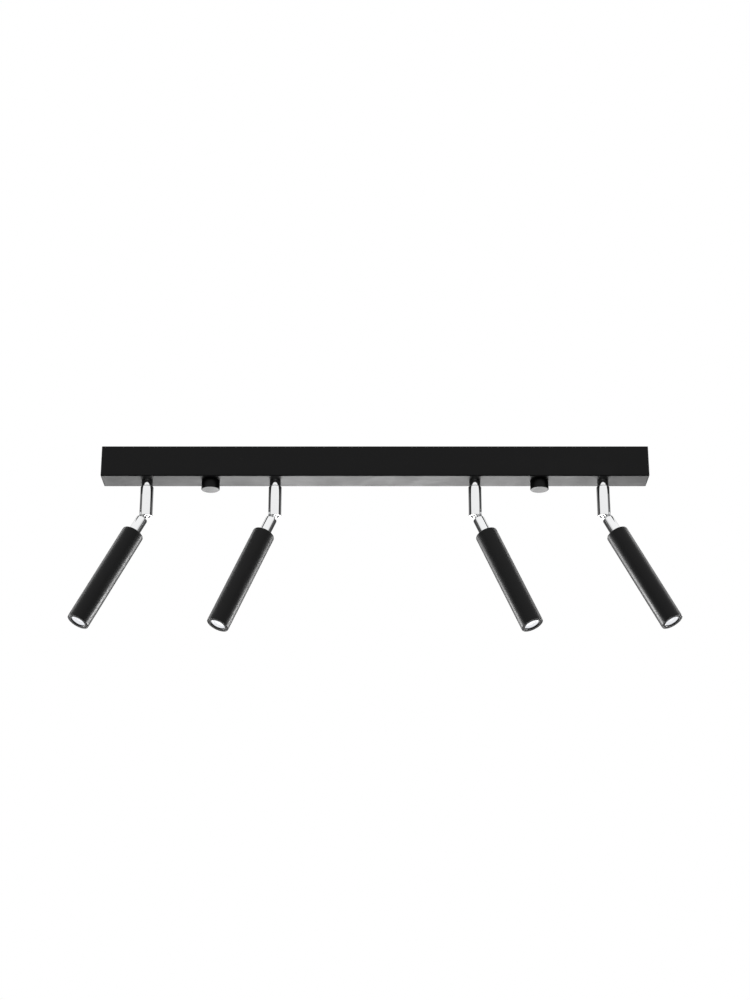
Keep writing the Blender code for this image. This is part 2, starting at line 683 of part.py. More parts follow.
def make_spot(tag, x, outward, tilt_angle, turn_angle):
    """One swivel and its head. The sleeve's own +X is the way its head swings."""
    station = add_empty("station_" + tag, None, (x, 0, UNDERSIDE))
    heading = turn_angle + 180.0 if outward < 0 else -turn_angle
    turn = add_empty("pan_axis_" + tag, station, (0, 0, 0), (0, 0, heading))
    tilt = add_empty("tilt_axis_" + tag, turn, (0, 0, -PIVOT_DROP), (0, -tilt_angle, 0))
    make_neck(tag, station, outward)
    nut("lock_nut_" + tag, LOCK_NUT_FLATS, LOCK_NUT_HEIGHT, THREAD_RADIUS + GAP, "zinc_steel",
        BAR_WALL + GAP + LOCK_NUT_HEIGHT, 0.0, station)
    make_retainer(tag, station)
    make_sleeve(tag, turn)
    make_ball_seat(tag, turn)
    make_stem(tag, tilt)
    make_head_tube(tag, tilt)
    make_core(tag, tilt)
    make_lamp(tag, tilt)
    make_front_ring(tag, tilt)


make_bar()
make_strip()
make_studs()
make_driver()
make_terminal_block()
make_earth_screw()
make_spot("outer_left", -OUTER_X, -1, OUTER_TILT, OUTER_TURN)
make_spot("inner_left", -INNER_X, -1, INNER_TILT, INNER_TURN)
make_spot("inner_right", INNER_X, 1, INNER_TILT, INNER_TURN)
make_spot("outer_right", OUTER_X, 1, OUTER_TILT, OUTER_TURN)
bpy.context.view_layer.update()
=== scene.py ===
"""The finished look of the ceiling bar spotlight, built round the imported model.

Lengths in the constants are millimetres. The bar runs along X, its front faces -Y and it hangs below z = 0.
"""

import json
import math

import bmesh
import bpy
from mathutils import Matrix, Vector


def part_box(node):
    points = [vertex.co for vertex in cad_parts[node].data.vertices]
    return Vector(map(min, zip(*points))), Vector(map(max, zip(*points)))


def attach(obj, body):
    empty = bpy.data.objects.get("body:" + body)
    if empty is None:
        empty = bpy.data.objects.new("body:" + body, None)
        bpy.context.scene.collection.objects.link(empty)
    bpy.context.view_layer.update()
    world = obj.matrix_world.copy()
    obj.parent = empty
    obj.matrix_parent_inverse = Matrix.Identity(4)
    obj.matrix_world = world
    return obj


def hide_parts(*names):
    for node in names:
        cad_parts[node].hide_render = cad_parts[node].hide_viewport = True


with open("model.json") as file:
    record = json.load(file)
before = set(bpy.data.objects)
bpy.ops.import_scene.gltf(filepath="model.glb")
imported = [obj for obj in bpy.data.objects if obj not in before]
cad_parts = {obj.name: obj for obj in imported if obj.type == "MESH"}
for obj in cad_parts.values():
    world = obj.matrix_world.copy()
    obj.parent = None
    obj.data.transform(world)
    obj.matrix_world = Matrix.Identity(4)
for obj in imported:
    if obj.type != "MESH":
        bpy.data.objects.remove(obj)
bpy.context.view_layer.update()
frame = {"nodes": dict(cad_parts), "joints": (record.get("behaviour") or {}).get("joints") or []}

MM = 0.001
GAP = 0.3  # clearance between two pieces that fit or rest on each other

# Bar and the strip behind it
BAR_WALL = 1.0
BAR_BEND_RADIUS = 1.2
STRIP_WALL = 1.2
STRIP_BEND_RADIUS = 1.6
SCREW_SLOT_LENGTH = 12.0
SCREW_SLOT_WIDTH = 5.0
SCREW_SLOT_X = 130.0
SUPPLY_HOLE_X = 60.0
SUPPLY_HOLE_RADIUS = 6.0
EARTH_X = 90.0
EARTH_SCREW_RADIUS = 1.5

# Studs and round nuts
STUD_RADIUS = 2.0
STUD_PITCH = 0.7
STUD_THREAD_DEPTH = STUD_PITCH * 0.55
STUD_CHAMFER = 0.4
CAP_NUT_WELL = 7.3

# Swivels, measured down from the bar's underside
NECK_RADIUS = 5.7
NECK_LENGTH = 6.6
THREAD_RADIUS = 5.0
THREAD_RISE = 6.5
THREAD_PITCH = 1.0
THREAD_DEPTH = 0.45
THREAD_ROOT = 0.05  # the root and both ends of the crest, as parts of one turn
THREAD_CREST = (0.45, 0.58)
NECK_LEAD_IN = 0.5
NECK_BORE_RADIUS = 2.2
SPIGOT_RADIUS = 3.4
RETAINER_HEIGHT = 2.2
SLEEVE_RADIUS = 6.55
SLEEVE_END = 38.0
SLEEVE_ROOF = 4.0
BORE_RADIUS = 5.1
MOUTH_RADIUS = 5.3
LIP_DROP = 2.1
PIVOT_DROP = 33.8
STOP_WIDTH = 1.6
STOP_RADIUS = 4.9
STOP_DEPTH = 1.1
STOP_ROOT = 1.5  # the lug's height in stop depths, so that it grows out of the neck
POCKET_DEPTH = 1.6

# Heads, measured from the ball's middle along the head
BALL_RADIUS = 4.8
BALL_NECK_RADIUS = 2.5
WIRE_RADIUS = 1.6
STEM_START = 7.6
STEM_RADIUS = 5.75
STEM_ROUND = 2.5
STEM_THREAD_RADIUS = 4.7
STEM_THREAD_LENGTH = 8.6
STEM_THREAD_RUNOUT = 0.4
HEAD_START = 26.7
HEAD_END = 138.7
HEAD_RADIUS = 11.25
HEAD_WALL = 1.2
HEAD_ROOF = 2.0
HEAD_ROUND = 1.6
RING_THICKNESS = 1.5
RING_OPENING_RADIUS = 7.4
LENS_FACE = 2.0
LENS_DEPTH = 11.7
LENS_BACK_RADIUS = 4.2
DISH_DEPTH = 0.5
DISH_SHARE = 0.72  # of the ring's opening
DISH_CENTRE = 0.4  # the depth at the middle, as a part of the deepest
FIT_RADIUS = 9.75

# Roundings on turned edges
SHARP = 0.0
CRISP = 0.1
FINE = 0.15
SOFT = 0.2
BROKEN = 0.3
NUT_TOP_ROUND = 0.4
NUT_ROUND = 0.55
SLEEVE_ROUND = 0.45
STEM_NECK_ROUND = 0.35
RING_ROUND = 0.5
DISH_ROUND = 0.6

# How finely the turned and rounded pieces are made
ROUND_SIDES = 96
SMALL_SIDES = 48
EASE_STEPS = 4
BEND_STEPS = 6
SEAT_STEPS = 6
BALL_STEPS = 24
EDGE_SHARE = 0.49  # the most of an edge that one rounding takes
ON_AXIS = 0.001  # points nearer to the axis than this are on it
CREASE_ANGLE = math.radians(32.0)
SHADING_WEIGHT = 80
SLIVER = 0.002  # faces and edges thinner than this are cleaned away after a cut
CUT_DEPTH = 4  # a cutter that goes right through is this many walls deep

TAGS = ("outer_left", "inner_left", "inner_right", "outer_right")

# Colours. A pair runs from the first to the second in slow patches
PAINT = ((0.0026, 0.0026, 0.0028, 1.0), (0.004, 0.004, 0.0043, 1.0))
PAINT_SPECK = (0.009, 0.009, 0.0095, 1.0)
PAINT_SCRATCH = (0.03, 0.03, 0.031, 1.0)
CHROME = ((0.87, 0.875, 0.88, 1.0), (0.845, 0.85, 0.855, 1.0))
CHROME_SCRATCH = (0.7, 0.7, 0.71, 1.0)
ZINC = ((0.56, 0.58, 0.6, 1.0), (0.7, 0.71, 0.72, 1.0))
BRASS = ((0.72, 0.52, 0.21, 1.0), (0.83, 0.64, 0.3, 1.0))
ALUMINIUM = ((0.68, 0.69, 0.7, 1.0), (0.78, 0.78, 0.79, 1.0))
NYLON = ((0.8, 0.79, 0.74, 1.0), (0.86, 0.85, 0.81, 1.0))
GREY_PLASTIC = ((0.26, 0.27, 0.28, 1.0), (0.34, 0.35, 0.36, 1.0))
SOLDER_MASK = ((0.78, 0.8, 0.78, 1.0), (0.86, 0.87, 0.85, 1.0))
PHOSPHOR = ((0.86, 0.62, 0.12, 1.0), (0.95, 0.76, 0.24, 1.0))
OPTIC = ((0.93, 0.935, 0.94, 1.0), (0.84, 0.85, 0.86, 1.0))
# The colours of the lens's faint painted glow, in slow patches
OPTIC_GLOW = ((0.96, 0.97, 1.0, 1.0), (0.86, 0.88, 0.92, 1.0))
FLOOR_GREY = (0.1, 0.1, 0.1, 1.0)
WHITE = (1.0, 1.0, 1.0, 1.0)

# Camera, its place in metres
CAMERA_LENS = 69.0
SENSOR_WIDTH = 36.0
CAMERA_PLACE = (0.0, -1.8016, -0.7321)
CAMERA_PITCH = math.radians(110.68)

# Surroundings: strengths, and where each change begins and ends on the unit sphere of directions
BACK_SHARE = 0.22
FLAG_SHARE = 0.12
LOW_LIGHT = 0.55
HIGH_LIGHT = 1.02
WALL_EDGE = (0.55, 0.9)
FLAG_EDGE = (0.74, 0.86)
FLAG_TOP = (0.38, 0.5)
LOW_EDGE = (0.08, 0.42)
FLAG_TURN = math.radians(18.0)

# Floor, its strengths, and its place and the edges of its painted pool of light in metres
FLOOR_FRONT = 0.22
FLOOR_POOL = 8.6
FLOOR_SIDES = 0.05
FLOOR_SEEN = 0.86
FLOOR_HEIGHT = -1.15
FLOOR_HALF = 9.0
POOL_BACK = (0.3, 2.4)
POOL_SIDE = (0.1, 1.25)

# Softboxes, in metres and watts. The rim ones stand on the right, and again mirrored on the left
AIM = (0.0, 0.0, -0.1)
KEY_PLACE = (-1.6, -2.2, 1.9)
KEY_SIZE = 1.8
KEY_WATTS = 16.0
LOW_RIM_PLACE = (2.45, 1.5, -0.8)
LOW_RIM_SIZE = 1.2
LOW_RIM_WATTS = 235.0
HIGH_RIM_PLACE = (1.6, 1.1, 1.6)
HIGH_RIM_SIZE = 1.0
HIGH_RIM_WATTS = 9.0


# Camera


def make_camera():
    data = bpy.data.cameras.new("camera")
    data.lens = CAMERA_LENS
    data.sensor_width = SENSOR_WIDTH
    camera = bpy.data.objects.new("camera", data)
    camera.location = CAMERA_PLACE
    camera.rotation_euler = (CAMERA_PITCH, 0.0, 0.0)
    bpy.context.scene.collection.objects.link(camera)
    bpy.context.scene.camera = camera


make_camera()


# Shader helpers


def place(tree, kind, inputs=None, **settings):
    """Add a shader node, set it up, and fill or link its inputs."""
    node = tree.nodes.new(kind)
    for name, value in settings.items():
        setattr(node, name, value)
    for socket, value in (inputs or {}).items():
        if isinstance(value, bpy.types.NodeSocket):
            tree.links.new(value, node.inputs[socket])
        else:
            node.inputs[socket].default_value = value
    return node


def math_of(tree, operation, *values):
    return place(tree, "ShaderNodeMath", dict(enumerate(values)), operation=operation).outputs[0]


def spread(tree, value, low, high, start=0.3, end=0.7):
    """Stretch a texture's middle range over the values wanted."""
    fill = {"Value": value, "From Min": start, "From Max": end, "To Min": low, "To Max": high}
    return place(tree, "ShaderNodeMapRange", fill, interpolation_type="SMOOTHSTEP").outputs["Result"]


def noise(tree, vector, scale, detail=2.0, roughness=0.5, distortion=0.0):
    fill = {"Vector": vector, "Scale": scale, "Detail": detail, "Roughness": roughness,
            "Distortion": distortion}
    return place(tree, "ShaderNodeTexNoise", fill).outputs[0]


def blend_colours(tree, factor, first, second):
    node = place(tree, "ShaderNodeMix", {0: factor, 6: first, 7: second}, data_type="RGBA")
    return node.outputs[2]


def new_group(name, inputs, outputs):
    group = bpy.data.node_groups.new(name, "ShaderNodeTree")
    for label, kind in inputs:
        group.interface.new_socket(label, in_out="INPUT", socket_type=kind)
    for label, kind in outputs:
        group.interface.new_socket(label, in_out="OUTPUT", socket_type=kind)
    return group, group.nodes.new("NodeGroupInput"), group.nodes.new("NodeGroupOutput")


VECTOR = "NodeSocketVector"
VALUE = "NodeSocketFloat"


def make_surface_grain():
    """Fine pebble of a sprayed, moulded or plated surface, with slow patches across it."""
    group, given, result = new_group(
        "surface_grain",
        [("Place", VECTOR), ("Grains per metre", VALUE), ("Patches per metre", VALUE)],
        [("Grain", VALUE), ("Patches", VALUE), ("Height", VALUE)],
    )
    fine = noise(group, given.outputs["Place"], given.outputs["Grains per metre"], 3.0, 0.55)
    slow = noise(group, given.outputs["Place"], given.outputs["Patches per metre"], 3.0, 0.6, 0.4)
    broad_scale = math_of(group, "MULTIPLY", given.outputs["Grains per metre"], 0.3)
    broad = noise(group, given.outputs["Place"], broad_scale, 1.0, 0.5)
    height = math_of(group, "ADD", math_of(group, "MULTIPLY", broad, 0.6), fine)
    group.links.new(fine, result.inputs["Grain"])
    group.links.new(slow, result.inputs["Patches"])
    group.links.new(height, result.inputs["Height"])
    return group


def make_handling_marks():
    """Soft smudges left by fingers and a few short hairline scratches."""
    group, given, result = new_group(
        "handling_marks",
        [("Place", VECTOR), ("Smudges per metre", VALUE), ("Hairlines per metre", VALUE)],
        [("Smudges", VALUE), ("Hairlines", VALUE)],
    )
    place_in = given.outputs["Place"]
    slow = noise(group, place_in, given.outputs["Smudges per metre"], 4.0, 0.62, 0.8)
    smudges = spread(group, slow, 0.0, 1.0, 0.52, 0.72)
    paths = noise(group, place_in, given.outputs["Hairlines per metre"], 1.0, 0.4, 1.5)
    off_path = math_of(group, "ABSOLUTE", math_of(group, "SUBTRACT", paths, 0.5))
    lines = spread(group, off_path, 1.0, 0.0, 0.0, 0.006)
    broken_scale = math_of(group, "MULTIPLY", given.outputs["Hairlines per metre"], 2.7)
    broken = spread(group, noise(group, place_in, broken_scale, 0.0), 0.0, 1.0, 0.55, 0.62)
    group.links.new(smudges, result.inputs["Smudges"])
    group.links.new(math_of(group, "MULTIPLY", lines, broken), result.inputs["Hairlines"])
    return group


def make_turning_marks():
    """Rings that a lathe tool leaves round the local Z axis, on sides and end faces alike."""
    group, given, result = new_group(
        "turning_marks",
        [("Place", VECTOR), ("Marks per metre", VALUE)],
        [("Rings", VALUE), ("Height", VALUE)],
    )
    parts = place(group, "ShaderNodeSeparateXYZ", {0: given.outputs["Place"]})
    across = place(group, "ShaderNodeCombineXYZ", {0: parts.outputs[0], 1: parts.outputs[1]})
    radius = place(group, "ShaderNodeVectorMath", {0: across.outputs[0]}, operation="LENGTH")
    along = place(group, "ShaderNodeCombineXYZ", {0: radius.outputs["Value"], 1: parts.outputs[2]})
    rings = noise(group, along.outputs[0], given.outputs["Marks per metre"], 2.0, 0.65)
    group.links.new(rings, result.inputs["Rings"])
    group.links.new(math_of(group, "MULTIPLY", rings, 0.5), result.inputs["Height"])
    return group


GRAIN = make_surface_grain()
MARKS = make_handling_marks()
TURNING = make_turning_marks()


def use_group(tree, group, **values):
    """Place a shared effect. Underscores in a value's name stand for spaces."""
    node = place(tree, "ShaderNodeGroup", node_tree=group)
    for name, value in values.items():
        socket = node.inputs[name.replace("_", " ")]
        if isinstance(value, bpy.types.NodeSocket):
            tree.links.new(value, socket)
        else:
            socket.default_value = value
    return node.outputs


def start_material(name, **sockets):
    """A material with its uniform values set on the shader, and its tree, shader and place."""
    material = bpy.data.materials.new(name)
    material.use_nodes = True
    tree = material.node_tree
    shader = tree.nodes["Principled BSDF"]
    for label, value in sockets.items():
        shader.inputs[label.replace("_", " ")].default_value = value
    return material, tree, shader, place(tree, "ShaderNodeTexCoord").outputs["Object"]


def set_bump(tree, shader, height, strength, distance):
    fill = {"Height": height, "Strength": strength, "Distance": distance * MM}
    bump = place(tree, "ShaderNodeBump", fill)
    tree.links.new(bump.outputs["Normal"], shader.inputs["Normal"])


def darker(colour, share):
    return tuple(share * value for value in colour[:3]) + (1.0,)


def black_paint(name, grains, roughness, bump):
    """Satin black powder coat: fine pebble, slight patches in its shine, faint wipe marks."""
    material, tree, shader, where = start_material(name, Specular_IOR_Level=0.175)
    grain = use_group(tree, GRAIN, Place=where, Grains_per_metre=grains, Patches_per_metre=22.0)
    marks = use_group(tree, MARKS, Place=where, Smudges_per_metre=28.0, Hairlines_per_metre=60.0)
    base = blend_colours(tree, spread(tree, grain["Patches"], 0.0, 1.0), *PAINT)
    specks = spread(tree, grain["Grain"], 0.0, 0.35, start=0.5, end=0.8)
    speckled = blend_colours(tree, specks, base, PAINT_SPECK)
    scratches = math_of(tree, "MULTIPLY", marks["Hairlines"], 0.12)
    worn = blend_colours(tree, scratches, speckled, PAINT_SCRATCH)
    tree.links.new(worn, shader.inputs["Base Color"])
    shine = spread(tree, grain["Patches"], roughness - 0.03, roughness + 0.04)
    wiped = math_of(tree, "SUBTRACT", shine, math_of(tree, "MULTIPLY", marks["Smudges"], 0.05))
    tree.links.new(wiped, shader.inputs["Roughness"])
    set_bump(tree, shader, grain["Height"], strength=bump, distance=0.05)
    return material


def chrome(name):
    """Bright chrome plate with a trace of turning lines, finger smudges and hairlines."""
    material, tree, shader, where = start_material(name, Metallic=1.0)
    marks = use_group(tree, MARKS, Place=where, Smudges_per_metre=95.0, Hairlines_per_metre=190.0)
    turning = use_group(tree, TURNING, Place=where, Marks_per_metre=5200.0)
    tint = blend_colours(tree, marks["Smudges"], *CHROME)
    scratches = math_of(tree, "MULTIPLY", marks["Hairlines"], 0.3)
    scratched = blend_colours(tree, scratches, tint, CHROME_SCRATCH)
    tree.links.new(scratched, shader.inputs["Base Color"])
    clean = spread(tree, turning["Rings"], 0.035, 0.065)
    smudged = math_of(tree, "MULTIPLY_ADD", marks["Smudges"], 0.03, clean)
    tree.links.new(math_of(tree, "MULTIPLY_ADD", marks["Hairlines"], 0.1, smudged),
                   shader.inputs["Roughness"])
    set_bump(tree, shader, turning["Height"], strength=0.12, distance=0.002)
    return material


def plated_steel(name, colours, roughness):
    """Plated steel: cloudy crystals, rolling streaks and hairline scratches."""
    material, tree, shader, where = start_material(name, Metallic=1.0)
    grain = use_group(tree, GRAIN, Place=where, Grains_per_metre=900.0, Patches_per_metre=45.0)
    marks = use_group(tree, MARKS, Place=where, Smudges_per_metre=40.0, Hairlines_per_metre=120.0)
    cells = place(tree, "ShaderNodeTexVoronoi", {"Vector": where, "Scale": 160.0})
    crystal = place(tree, "ShaderNodeSeparateColor", {0: cells.outputs["Color"]}).outputs[0]
    stretched = place(tree, "ShaderNodeVectorMath", {0: where, 1: (4.0, 900.0, 900.0)},
                      operation="MULTIPLY").outputs[0]
    rolled = noise(tree, stretched, 1.0, 2.0, 0.6)
    cloudy = math_of(tree, "ADD", math_of(tree, "MULTIPLY", crystal, 0.35),
                     math_of(tree, "MULTIPLY", grain["Patches"], 0.65))
    tint = blend_colours(tree, spread(tree, cloudy, 0.0, 1.0), *colours)
    dulled = blend_colours(tree, math_of(tree, "MULTIPLY", marks["Smudges"], 0.35), tint,
                           darker(colours[0], 0.72))
    tree.links.new(dulled, shader.inputs["Base Color"])
    shine = spread(tree, rolled, roughness - 0.07, roughness + 0.08)
    tree.links.new(math_of(tree, "MULTIPLY_ADD", marks["Hairlines"], 0.12, shine),
                   shader.inputs["Roughness"])
    height = math_of(tree, "MULTIPLY_ADD", rolled, 0.5, grain["Height"])
    set_bump(tree, shader, height, strength=0.3, distance=0.02)
    return material


def turned_metal(name, colours, roughness, marks_per_metre):
    """Bare machined metal with clear tool rings."""
    material, tree, shader, where = start_material(name, Metallic=1.0)
    grain = use_group(tree, GRAIN, Place=where, Grains_per_metre=2600.0, Patches_per_metre=120.0)
    turning = use_group(tree, TURNING, Place=where, Marks_per_metre=marks_per_metre)
    tint = blend_colours(tree, spread(tree, grain["Patches"], 0.0, 1.0), *colours)
    tree.links.new(tint, shader.inputs["Base Color"])
    tree.links.new(spread(tree, turning["Rings"], roughness - 0.08, roughness + 0.1),
                   shader.inputs["Roughness"])
    set_bump(tree, shader, turning["Height"], strength=0.5, distance=0.03)
    return material


def moulded_plastic(name, colours, roughness, grains):
    """Moulded plastic with a spark-eroded grain and slightly uneven shine."""
    material, tree, shader, where = start_material(name)
    grain = use_group(tree, GRAIN, Place=where, Grains_per_metre=grains, Patches_per_metre=60.0)
    marks = use_group(tree, MARKS, Place=where, Smudges_per_metre=70.0, Hairlines_per_metre=90.0)
    tint = blend_colours(tree, spread(tree, grain["Patches"], 0.0, 1.0), *colours)
    grubby = blend_colours(tree, math_of(tree, "MULTIPLY", marks["Smudges"], 0.25), tint,
                           darker(colours[0], 0.7))
    tree.links.new(grubby, shader.inputs["Base Color"])
    tree.links.new(spread(tree, grain["Patches"], roughness - 0.05, roughness + 0.06),
                   shader.inputs["Roughness"])
    set_bump(tree, shader, grain["Height"], strength=0.35, distance=0.03)
    return material


def circuit_board(name):
    """White solder mask with the raised tracks of the lamp's circuit under it."""
    material, tree, shader, where = start_material(name)
    grain = use_group(tree, GRAIN, Place=where, Grains_per_metre=2200.0, Patches_per_metre=90.0)
    cells = place(tree, "ShaderNodeTexVoronoi", {"Vector": where, "Scale": 330.0},
                  distance="CHEBYCHEV", feature="F1")
    tracks = spread(tree, cells.outputs["Distance"], 1.0, 0.0, start=0.28, end=0.34)
    tint = blend_colours(tree, tracks, *SOLDER_MASK)
    tree.links.new(tint, shader.inputs["Base Color"])
    tree.links.new(spread(tree, grain["Patches"], 0.32, 0.44), shader.inputs["Roughness"])
    set_bump(tree, shader, tracks, strength=0.6, distance=0.05)
    return material


def lamp_phosphor(name):
    """Yellow phosphor gel over the lamp's chips."""
    material, tree, shader, where = start_material(name, Coat_Weight=0.4, Coat_Roughness=0.1)
    grain = use_group(tree, GRAIN, Place=where, Grains_per_metre=6000.0, Patches_per_metre=700.0)
    tint = blend_colours(tree, spread(tree, grain["Patches"], 0.0, 1.0), *PHOSPHOR)
    tree.links.new(tint, shader.inputs["Base Color"])
    tree.links.new(spread(tree, grain["Grain"], 0.3, 0.5), shader.inputs["Roughness"])
    set_bump(tree, shader, grain["Height"], strength=0.3, distance=0.02)
    return material


def frosted_lens(name):
    """Milky optic with a fine pebbled face that spreads the beam, and a faint painted glow that brightens
    it.
    """
    material, tree, shader, where = start_material(
        name, Coat_Weight=0.6, Coat_Roughness=0.06, Emission_Strength=0.75)
    grain = use_group(tree, GRAIN, Place=where, Grains_per_metre=1500.0, Patches_per_metre=160.0)
    cells = place(tree, "ShaderNodeTexVoronoi", {"Vector": where, "Scale": 900.0}, feature="SMOOTH_F1")
    pebble = cells.outputs["Distance"]
    tint = blend_colours(tree, spread(tree, pebble, 0.0, 1.0, start=0.1, end=0.7), *OPTIC)
    tree.links.new(tint, shader.inputs["Base Color"])
    # Painted glow: the lens shines faintly of its own so that it looks brighter.
    glow = blend_colours(tree, spread(tree, grain["Patches"], 0.0, 1.0), *OPTIC_GLOW)
    tree.links.new(glow, shader.inputs["Emission Color"])
    tree.links.new(spread(tree, grain["Grain"], 0.16, 0.28), shader.inputs["Roughness"])
    set_bump(tree, shader, pebble, strength=0.5, distance=0.08)
    return material


FINISHES = {
    "bar_paint": black_paint("bar_paint", grains=1250.0, roughness=0.47, bump=0.4),
    "head_paint": black_paint("head_paint", grains=1700.0, roughness=0.42, bump=0.14),
    "nut_paint": black_paint("nut_paint", grains=2100.0, roughness=0.36, bump=0.25),
    "polished_chrome": chrome("polished_chrome"),
    "zinc_steel": plated_steel("zinc_steel", ZINC, roughness=0.36),
    "brass": turned_metal("brass", BRASS, roughness=0.28, marks_per_metre=4200.0),
    "aluminium": turned_metal("aluminium", ALUMINIUM, roughness=0.38, marks_per_metre=3000.0),
    "white_nylon": moulded_plastic("white_nylon", NYLON, roughness=0.45, grains=1900.0),
    "grey_plastic": moulded_plastic("grey_plastic", GREY_PLASTIC, roughness=0.5, grains=1700.0),
    "board_white": circuit_board("board_white"),
    "lamp_yellow": lamp_phosphor("lamp_yellow"),
    "lens": frosted_lens("lens"),
}


# Mesh helpers


def finish_piece(name, mesh, finish, body, nodes, where):
    """Put a built mesh in place, smooth it with crisp corners, and give it its finish and its body."""
    mesh.materials.clear()
    mesh.materials.append(FINISHES[finish])
    mesh.shade_smooth()
    mesh.set_sharp_from_angle(angle=CREASE_ANGLE)
    item = bpy.data.objects.new(name, mesh)
    bpy.context.scene.collection.objects.link(item)
    item.matrix_world = where
    weighted = item.modifiers.new("even_shading", "WEIGHTED_NORMAL")
    weighted.keep_sharp = True
    weighted.weight = SHADING_WEIGHT
    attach(item, body)
    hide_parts(*nodes)
    return item


def eased(points):
    """A closed or open outline of (radius, height, rounding) with each rounding drawn as an arc."""
    result = []
    last = len(points) - 1
    for index, (radius, height, ease) in enumerate(points):
        here = Vector((radius, height))
        if ease == SHARP:
            result.append((radius, height))
            continue
        before = Vector(points[index - 1][:2]) - here
        after = Vector(points[0 if index == last else index + 1][:2]) - here
        half = before.angle(after) / 2
        reach = min(ease / math.tan(half), before.length * EDGE_SHARE, after.length * EDGE_SHARE)
        swing = reach * math.tan(half)
        inward = (before.normalized() + after.normalized()).normalized()
        middle = here + inward * (swing / math.sin(half))
        first = here + before.normalized() * reach - middle
        final = here + after.normalized() * reach - middle
        sweep = first.angle_signed(final)
        for step in range(EASE_STEPS + 1):
            turn = Matrix.Rotation(-sweep * step / EASE_STEPS, 2)
            result.append(tuple(middle + turn @ first))
    return result


def arc(centre_height, radius, start, end, steps):
    """Points round a ball that sits on the axis, by angle in degrees up from its middle."""
    points = []
    for step in range(steps + 1):
        angle = math.radians(start + (end - start) * step / steps)
        points.append((radius * math.cos(angle), centre_height + radius * math.sin(angle), SHARP))
    return points


def threads(radius, top, bottom, pitch, depth):
    """The zigzag outline of a thread cut into a turned piece."""
    turns = int((top - bottom) / pitch)
    points = []
    for turn in range(turns):
        start = top - turn * pitch
        points.append((radius - depth, start - pitch * THREAD_ROOT, SHARP))
        for end in THREAD_CREST:
            points.append((radius, start - pitch * end, SHARP))
    return points


def turned_mesh(name, outline, sides, closed=True):
    """Spin an outline of (radius, height) round Z. Points on the axis become one vertex."""
    bm = bmesh.new()
    rings = []
    for radius, height in outline:
        if radius < ON_AXIS:
            rings.append([bm.verts.new((0.0, 0.0, height * MM))] * sides)
            continue
        ring = []
        for side in range(sides):
            angle = math.tau * side / sides
            place_at = (radius * MM * math.cos(angle), radius * MM * math.sin(angle), height * MM)
            ring.append(bm.verts.new(place_at))
        rings.append(ring)
    pairs = list(zip(rings, rings[1:]))
    if closed:
        pairs.append((rings[-1], rings[0]))
    for upper, lower in pairs:
        for side in range(sides):
            after = (side + 1) % sides
            corners = []
            for vert in (upper[side], lower[side], lower[after], upper[after]):
                if vert not in corners:
                    corners.append(vert)
            if len(corners) > 2:
                bm.faces.new(corners)
    bmesh.ops.recalc_face_normals(bm, faces=bm.faces)
    mesh = bpy.data.meshes.new(name)
    bm.to_mesh(mesh)
    bm.free()
    return mesh


def box_mesh(name, size, centre):
    bm = bmesh.new()
    bmesh.ops.create_cube(bm, size=1.0)
    bmesh.ops.scale(bm, vec=[v * MM for v in size], verts=bm.verts)
    bmesh.ops.translate(bm, vec=[v * MM for v in centre], verts=bm.verts)
    mesh = bpy.data.meshes.new(name)
    bm.to_mesh(mesh)
    bm.free()
    return mesh


def cylinder_mesh(name, radius, length, sides=SMALL_SIDES, centre=(0.0, 0.0, 0.0)):
    bm = bmesh.new()
    bmesh.ops.create_cone(bm, cap_ends=True, segments=sides, radius1=radius * MM, radius2=radius * MM,
                          depth=length * MM)
    bmesh.ops.translate(bm, vec=[v * MM for v in centre], verts=bm.verts)
    mesh = bpy.data.meshes.new(name)
    bm.to_mesh(mesh)
    bm.free()
    return mesh


def carve(mesh, cutters, joined=()):
    """Add the joined tools, cut the cutters out and clean up slivers. Each tool is a (mesh, matrix)."""
    scratch = []

    def temporary(data, matrix):
        item = bpy.data.objects.new("tool", data)
        bpy.context.scene.collection.objects.link(item)
        item.matrix_world = matrix
        scratch.append(item)
        return item

    work = temporary(mesh, Matrix.Identity(4))
    for operation, tools in (("UNION", joined), ("DIFFERENCE", cutters)):
        for data, matrix in tools:
            boolean = work.modifiers.new(operation.lower(), "BOOLEAN")
            boolean.operation = operation
            boolean.solver = "EXACT"
            boolean.object = temporary(data, matrix)
    bpy.context.view_layer.update()
    result = bpy.data.meshes.new_from_object(work.evaluated_get(bpy.context.evaluated_depsgraph_get()))
    for item in scratch:
        bpy.data.objects.remove(item, do_unlink=True)
    result.name = mesh.name
    bm = bmesh.new()
    bm.from_mesh(result)
    bmesh.ops.remove_doubles(bm, verts=bm.verts, dist=SLIVER * MM)
    bmesh.ops.triangulate(bm, faces=[face for face in bm.faces if len(face.verts) > 4])
    bmesh.ops.dissolve_degenerate(bm, dist=SLIVER * MM, edges=bm.edges)
    bm.to_mesh(result)
    bm.free()
    return result


def shift(x=0.0, y=0.0, z=0.0):
    return Matrix.Translation(Vector((x, y, z)) * MM)


def through_y(x, y, z):
    """Where a tool that cuts along Y goes."""
    return shift(x, y, z) @ Matrix.Rotation(math.radians(90.0), 4, "X")


# Where the CAD puts each piece


def millimetres(node):
    low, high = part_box(node)
    return low / MM, high / MM


BAR_LOW, BAR_HIGH = millimetres("canopy_shell")
STRIP_LOW, STRIP_HIGH = millimetres("ceiling_bracket")
UNDERSIDE = BAR_LOW.z
JOINTS = {joint["name"]: joint for joint in frame["joints"]}
STATION_X = {tag: JOINTS["pan_" + tag]["pos_m"][0] / MM for tag in TAGS}
STUD_X = {side: sum(v.x for v in millimetres("stud_" + side)) / 2 for side in ("left", "right")}


# Bar, strip and studs


